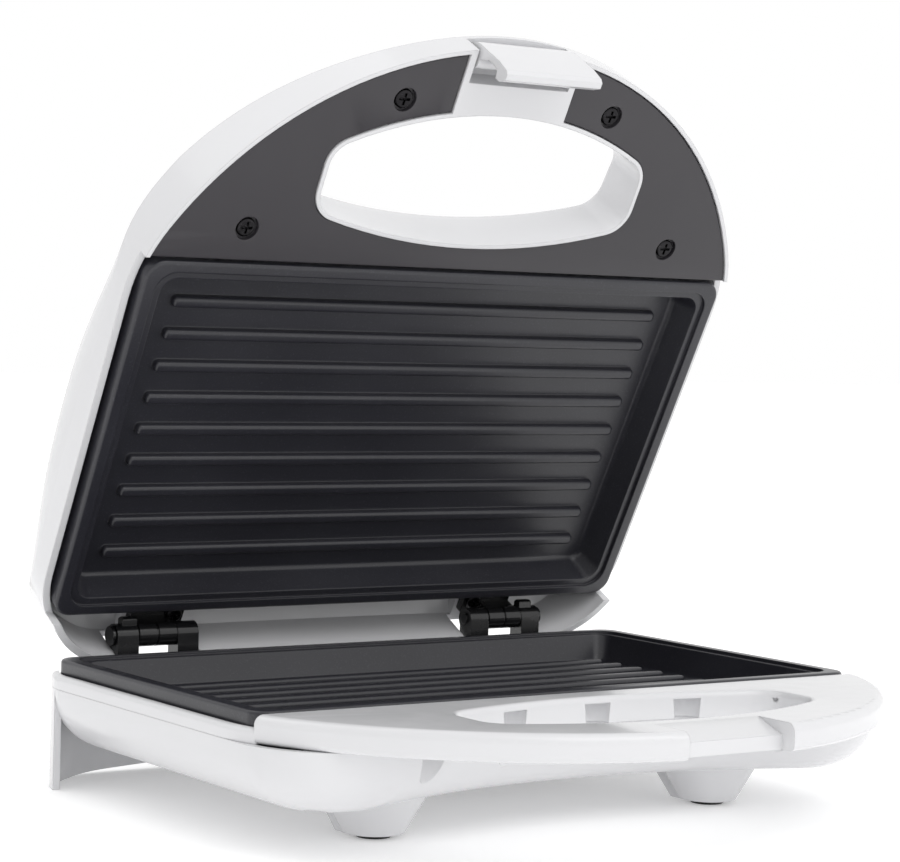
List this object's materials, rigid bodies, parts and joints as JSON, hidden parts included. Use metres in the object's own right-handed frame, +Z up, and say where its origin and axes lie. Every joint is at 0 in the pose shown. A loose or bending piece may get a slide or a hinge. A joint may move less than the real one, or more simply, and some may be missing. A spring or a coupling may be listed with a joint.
{
  "type": "panini press",
  "caption": "Tabletop panini press with ribbed grill plates in a hinged clamshell, arched handle loops and a swinging latch clip.",
  "frame": {"origin": "on the table under the middle of the object's box at rest, with the lid standing open", "axes": "+Z up, +Y to the hinge at the rear, -Y to the handles, X across the plates; the YZ plane is the plane of symmetry of the housings"},
  "size_m": [0.238, 0.2386, 0.2486],
  "materials": {
    "shell_white": "glossy white moulding",
    "insert_dark": "semi-gloss dark grey moulding",
    "plate_coating": "satin non-stick coating on cast aluminium",
    "steel": "sheathed steel",
    "aluminium_sheet": "folded sheet",
    "screw_black": "black oxide screws",
    "screw_zinc": "zinc plated screws",
    "hinge_black": "glossy black moulding",
    "rubber_black": "matte",
    "ceramic": "ceramic and resin",
    "lens_red": "clear tinted lens",
    "lens_green": "clear tinted lens"
  },
  "bodies": {
    "base": {"base_housing": "shell_white", "base_deck": "shell_white", "base_handle_cover": "shell_white", "lower_grill_plate": "plate_coating", "lower_heating_element": "steel", "lower_heat_shield": "aluminium_sheet", "lower_element_clamps": "aluminium_sheet", "lower_plate_screws": "screw_zinc", "deck_screws": "screw_zinc", "front_foot_left": "rubber_black", "front_foot_right": "rubber_black", "base_hinge_left": "hinge_black", "base_hinge_right": "hinge_black", "hinge_pin_left": "hinge_black", "hinge_pin_right": "hinge_black", "thermostat": "ceramic", "thermal_fuse": "steel", "terminal_block": "ceramic", "cord_grommet": "rubber_black"},
    "lid": {"lid_housing": "shell_white", "lid_handle_insert": "insert_dark", "insert_screws": "screw_black", "upper_grill_plate": "plate_coating", "upper_heating_element": "steel", "upper_heat_shield": "aluminium_sheet", "upper_element_clamps": "aluminium_sheet", "lid_hinge_left": "hinge_black", "lid_hinge_right": "hinge_black", "lid_hinge_screws": "screw_black", "indicator_lens_power": "lens_red", "indicator_lens_ready": "lens_green", "lamp_holder": "ceramic", "latch_pin": "steel"},
    "latch": {"latch_clip": "shell_white"}
  },
  "joints": [
    {"name": "lid_hinge", "type": "hinge", "parent": "base", "child": "lid", "pos_m": [0, 0.10544, 0.0473], "axis": [-1, 0, 0], "range_deg": [-61.6, 43.4]},
    {"name": "latch_pivot", "type": "hinge", "parent": "lid", "child": "latch", "pos_m": [0, -0.00019, 0.23972], "axis": [-1, 0, 0], "range_deg": [-8, 25]}
  ]
}
